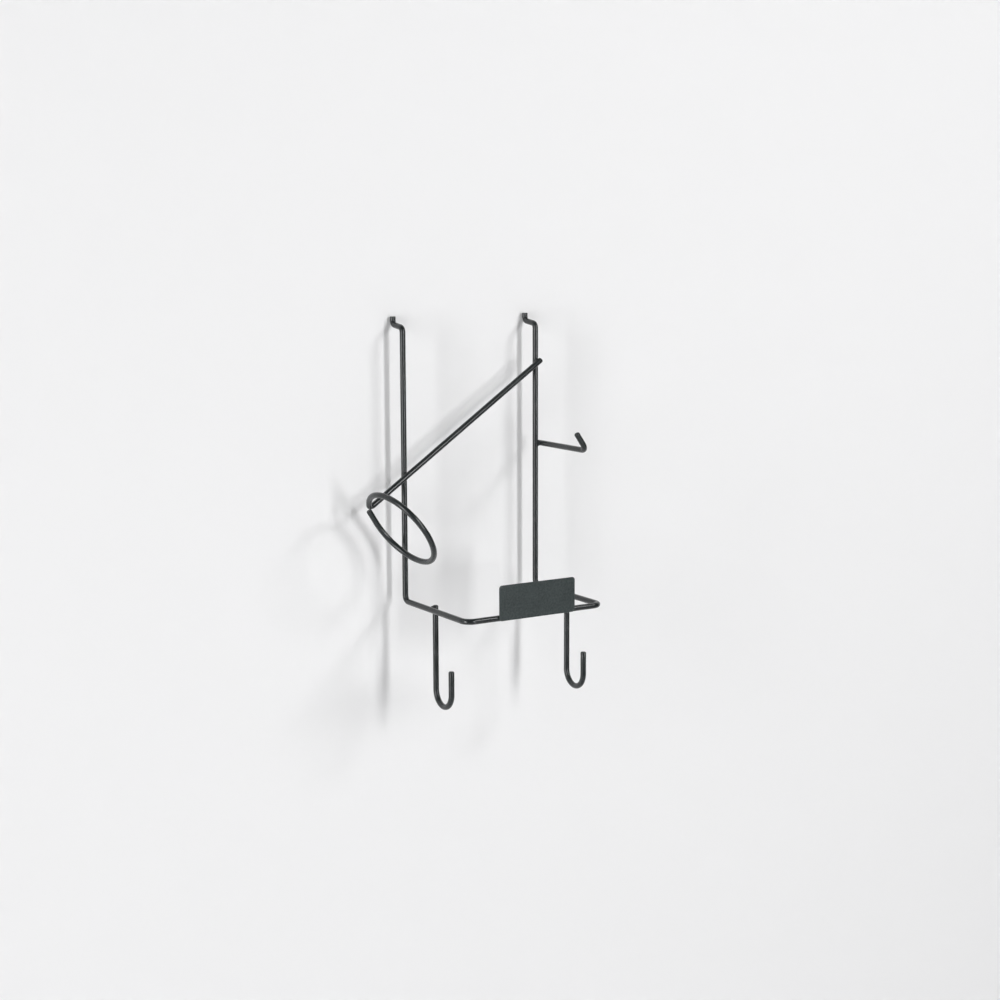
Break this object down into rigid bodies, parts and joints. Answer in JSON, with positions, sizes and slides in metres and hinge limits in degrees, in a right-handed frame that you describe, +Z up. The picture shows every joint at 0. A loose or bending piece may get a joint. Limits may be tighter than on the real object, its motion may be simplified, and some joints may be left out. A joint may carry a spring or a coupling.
{
  "type": "wall mounted power tool organizer",
  "caption": "Welded black wire rack for a slotted wall, with a nose ring and a support hook for a hand power tool, cord hooks below and a bare label plate.",
  "frame": {"origin": "midway between the two wall hooks, on the front face of the wall, at the corner where each hook leaves its upright", "axes": "+Z up along the uprights, +Y into the wall, +X to the right as seen from the front"},
  "size_m": [0.1822, 0.1239, 0.32],
  "materials": {
    "frame_coat": "satin black powder coat",
    "brace_coat": "satin black powder coat",
    "hook_coat": "satin black powder coat",
    "plate_coat": "fine-grained matt black powder coat",
    "weld_coat": "satin black powder coat over weld metal"
  },
  "bodies": {
    "root": {"main_frame": "frame_coat", "tool_ring_brace": "brace_coat", "tool_support_hook": "hook_coat", "left_cord_hook": "hook_coat", "right_cord_hook": "hook_coat", "label_plate": "plate_coat", "weld_beads": "weld_coat"}
  },
  "joints": []
}
